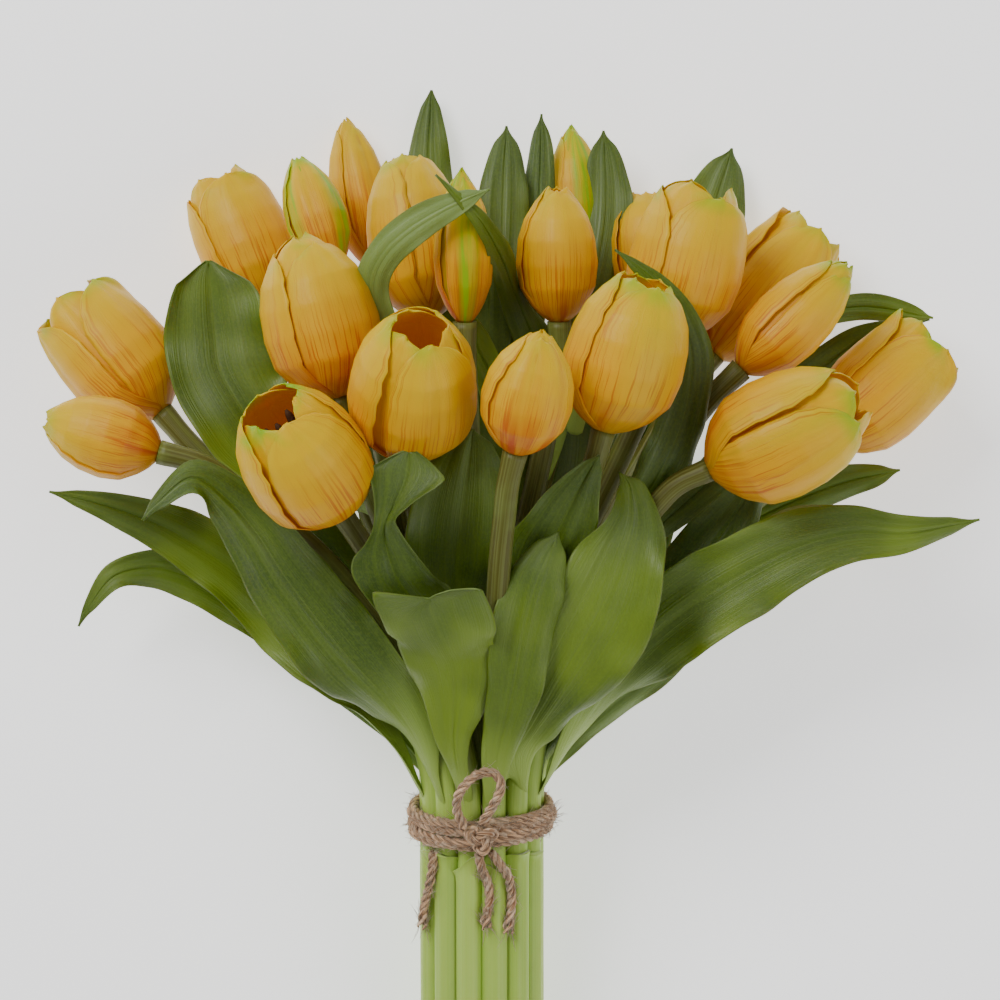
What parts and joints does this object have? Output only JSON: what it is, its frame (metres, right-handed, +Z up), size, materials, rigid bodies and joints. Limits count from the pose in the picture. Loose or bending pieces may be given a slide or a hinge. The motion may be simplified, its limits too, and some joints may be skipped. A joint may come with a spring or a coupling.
{
  "type": "bunch of tulips",
  "caption": "A bunch of yellow tulips, some in bud and some open, with stems and leaves, tied with jute twine in a bow and laid down",
  "frame": {"origin": "middle of the bottom of the bunch's box as it lies, on the surface it rests on", "axes": "+Y along the bunch from the cut ends to the flowers, +Z up away from the surface, +X to the right when looking down on it with the flowers away from the viewer"},
  "size_m": [0.3352, 0.3774, 0.1473],
  "materials": {
    "petals": "soft satin petals, golden yellow with fine orange-red streaks and green rims",
    "stems": "smooth satin stems, pale lime green",
    "leaves": "satin leaves with fine parallel veins",
    "twine": "rough twisted jute twine"
  },
  "bodies": {
    "root": {"flower_01": "petals", "flower_02": "petals", "flower_03": "petals", "flower_04": "petals", "flower_05": "petals", "flower_06": "petals", "flower_07": "petals", "flower_08": "petals", "flower_09": "petals", "flower_10": "petals", "flower_11": "petals", "flower_12": "petals", "flower_13": "petals", "flower_14": "petals", "flower_15": "petals", "flower_16": "petals", "flower_17": "petals", "flower_18": "petals", "flower_19": "petals", "flower_20": "petals", "stem_01": "stems", "stem_02": "stems", "stem_03": "stems", "stem_04": "stems", "stem_05": "stems", "stem_06": "stems", "stem_07": "stems", "stem_08": "stems", "stem_09": "stems", "stem_10": "stems", "stem_11": "stems", "stem_12": "stems", "stem_13": "stems", "stem_14": "stems", "stem_15": "stems", "stem_16": "stems", "stem_17": "stems", "stem_18": "stems", "stem_19": "stems", "stem_20": "stems", "leaf_front_curl": "leaves", "leaf_front_broad": "leaves", "leaf_right_long": "leaves", "leaf_left_long": "leaves", "leaf_left_low": "leaves", "leaf_left_broad": "leaves", "leaf_left_fold": "leaves", "leaf_centre_left": "leaves", "leaf_centre_back": "leaves", "leaf_centre_right": "leaves", "leaf_right_back": "leaves", "leaf_right_tip": "leaves", "leaf_right_arch": "leaves", "leaf_crossing": "leaves", "leaf_back_left": "leaves", "twine_wrap": "twine", "twine_knot": "twine", "twine_loop": "twine", "twine_end_long": "twine", "twine_end_short": "twine"}
  },
  "joints": []
}
